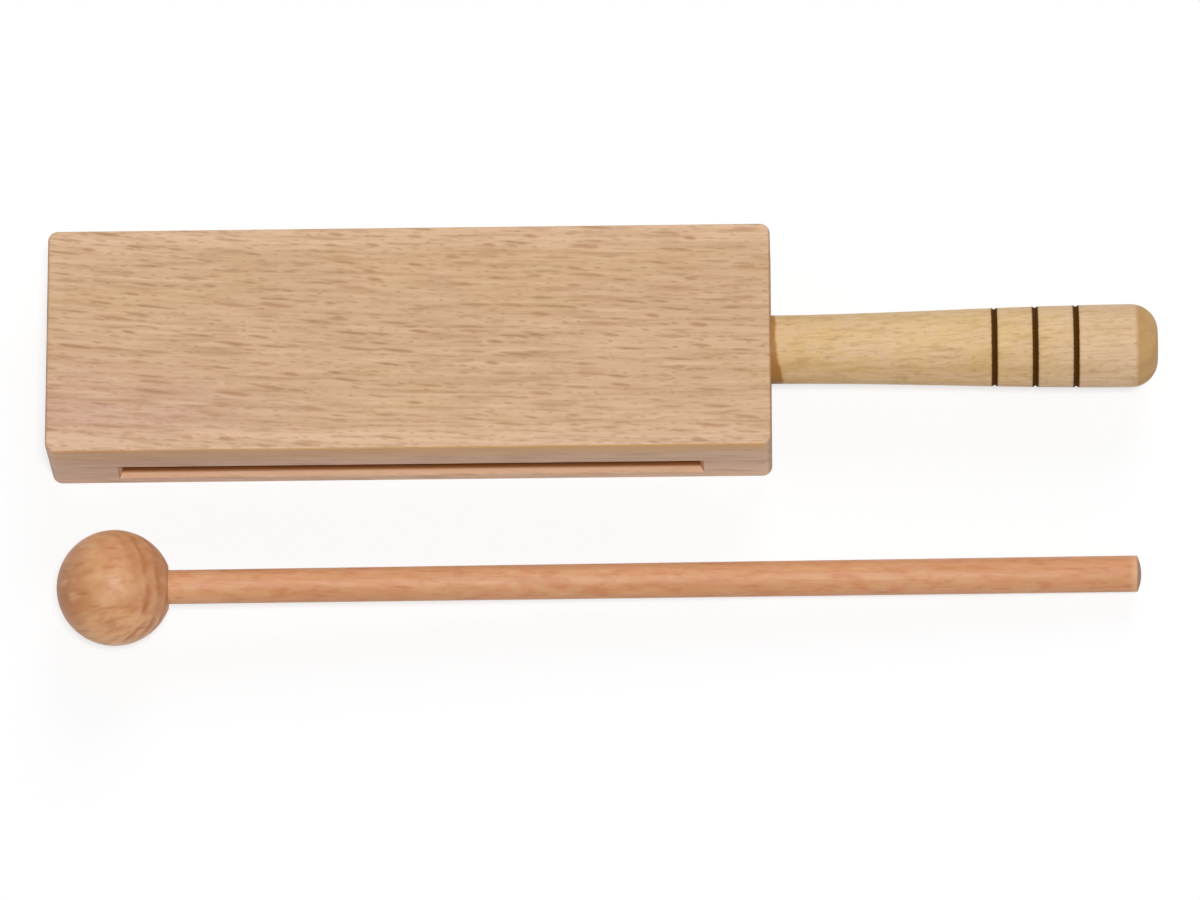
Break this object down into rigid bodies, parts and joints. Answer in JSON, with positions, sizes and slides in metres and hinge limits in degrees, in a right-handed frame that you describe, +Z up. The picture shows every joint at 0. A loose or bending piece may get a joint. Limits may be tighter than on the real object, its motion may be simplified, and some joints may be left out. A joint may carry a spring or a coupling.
{
  "type": "wood block with beater",
  "caption": "Hand-held slotted wood block with a turned, ringed handle, sounded with the loose ball-headed wooden beater that lies beside it.",
  "frame": {"origin": "middle of the broad face that the block rests on", "axes": "+X along the handle, away from the block; +Z up; the beater lies on the -Y side"},
  "size_m": [0.2763, 0.1041, 0.0287],
  "materials": {
    "block_beech": "satin lacquer",
    "handle_wood": "satin lacquer",
    "beater_beech": "satin lacquer"
  },
  "bodies": {
    "block": {"block": "block_beech", "handle": "handle_wood"},
    "beater": {"beater_head": "beater_beech", "beater_stick": "beater_beech"}
  },
  "joints": [
    {"name": "beater_lift", "type": "slide", "parent": "block", "child": "beater", "axis": [0, 0, 1], "range_m": [0, 0.12]}
  ]
}
